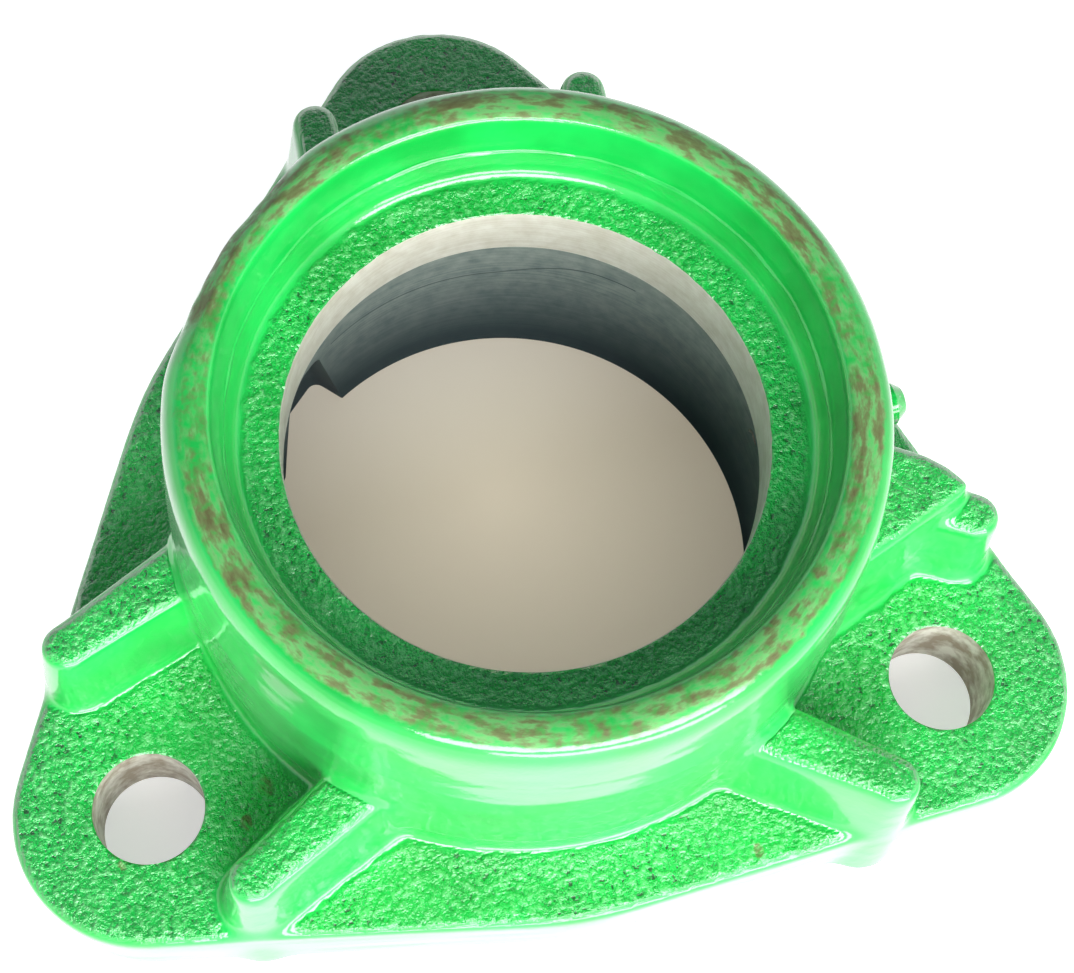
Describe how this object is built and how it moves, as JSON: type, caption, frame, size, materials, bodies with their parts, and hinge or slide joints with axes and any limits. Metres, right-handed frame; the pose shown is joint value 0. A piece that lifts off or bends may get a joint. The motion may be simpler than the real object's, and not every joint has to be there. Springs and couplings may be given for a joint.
{
  "type": "flanged bearing housing",
  "caption": "Cast flange bearing housing: tall round boss with a stepped through bore, a ribbed plate with rounded bolt ears, and a small grease fitting in the wall.",
  "frame": {"origin": "on the bore axis, at the mounting face of the flange", "axes": "+Z along the bore axis from the mounting face to the boss's open end, +Y to the bolt hole furthest from the thick gusset's side"},
  "size_m": [0.1532, 0.1445, 0.0615],
  "materials": {
    "painted_casting": "glossy green enamel over sand-cast iron, machined bores bare",
    "painted_fitting": "glossy green enamel, worn at the tip",
    "ball_steel": "polished bearing steel",
    "spring_steel": "drawn spring wire"
  },
  "bodies": {
    "housing_body": {"housing": "painted_casting", "grease_fitting": "painted_fitting", "check_spring": "spring_steel"},
    "ball": {"check_ball": "ball_steel"}
  },
  "joints": [
    {"name": "check_ball_slide", "type": "slide", "parent": "housing_body", "child": "ball", "axis": [-0.9936, -0.1132, 0], "range_m": [0, 0.0006], "stiffness_N_per_m": 300, "springref_m": -0.002}
  ]
}
